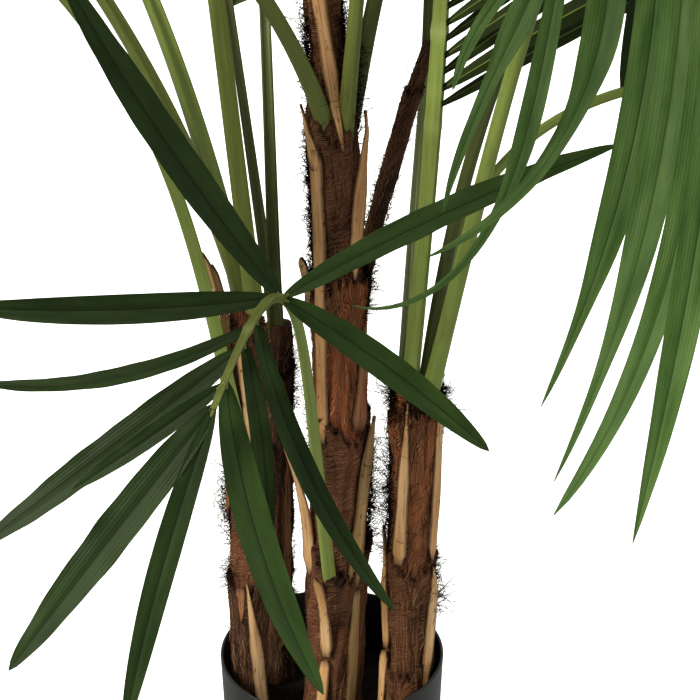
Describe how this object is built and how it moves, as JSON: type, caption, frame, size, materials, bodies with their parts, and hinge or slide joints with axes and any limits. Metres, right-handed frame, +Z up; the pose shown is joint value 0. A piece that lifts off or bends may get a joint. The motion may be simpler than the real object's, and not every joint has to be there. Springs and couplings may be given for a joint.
{
  "type": "artificial potted kentia palm",
  "caption": "Artificial kentia palm with fibre-wrapped trunks set in cement in a round black pot, and arching fronds of narrow leaflets all round.",
  "frame": {"origin": "centre of the pot's flat underside", "axes": "+Z up along the palm's height; -Y is the front, where the low bent frond reaches out; +X is the side that the hanging near frond leans to"},
  "size_m": [1.5791, 1.6718, 1.7272],
  "materials": {
    "pot": "satin black polypropylene",
    "cement": "dark stained cement",
    "trunk": "dry palm fibre over a pole",
    "petiole": "moulded polyethylene, satin",
    "leaf": "coated polyester cloth, satin"
  },
  "bodies": {
    "root": {"pot": "pot", "pot_fill": "cement", "trunk_centre": "trunk", "trunk_right": "trunk", "trunk_left": "trunk", "trunk_back": "trunk", "stem_thin": "trunk", "near_petiole": "petiole", "near_blade": "leaf", "left_low_petiole": "petiole", "left_low_blade_inner": "leaf", "left_low_blade_outer": "leaf", "left_high_petiole": "petiole", "left_high_blade": "leaf", "left_back_petiole": "petiole", "left_back_blade": "leaf", "left_front_petiole": "petiole", "left_front_blade_inner": "leaf", "left_front_blade_outer": "leaf", "back_left_petiole": "petiole", "back_left_blade": "leaf", "back_petiole": "petiole", "back_blade_inner": "leaf", "back_blade_outer": "leaf", "node_left_petiole": "petiole", "node_left_blade_inner": "leaf", "node_left_blade_outer": "leaf", "node_front_petiole": "petiole", "node_front_blade": "leaf", "node_right_petiole": "petiole", "node_right_blade": "leaf", "node_back_petiole": "petiole", "node_back_blade_inner": "leaf", "node_back_blade_outer": "leaf", "right_back_petiole": "petiole", "right_back_blade": "leaf", "right_mid_petiole": "petiole", "right_mid_blade_inner": "leaf", "right_mid_blade_outer": "leaf", "right_near_petiole": "petiole", "right_near_blade": "leaf", "right_low_petiole": "petiole", "right_low_blade": "leaf", "right_behind_petiole": "petiole", "right_behind_blade_inner": "leaf", "right_behind_blade_outer": "leaf", "thin_petiole": "petiole", "thin_blade": "leaf", "crown_right_petiole": "petiole", "crown_right_blade": "leaf", "crown_left_petiole": "petiole", "crown_left_blade": "leaf", "crown_back_petiole": "petiole", "crown_back_blade": "leaf", "crown_front_petiole": "petiole", "crown_front_blade": "leaf"}
  },
  "joints": []
}
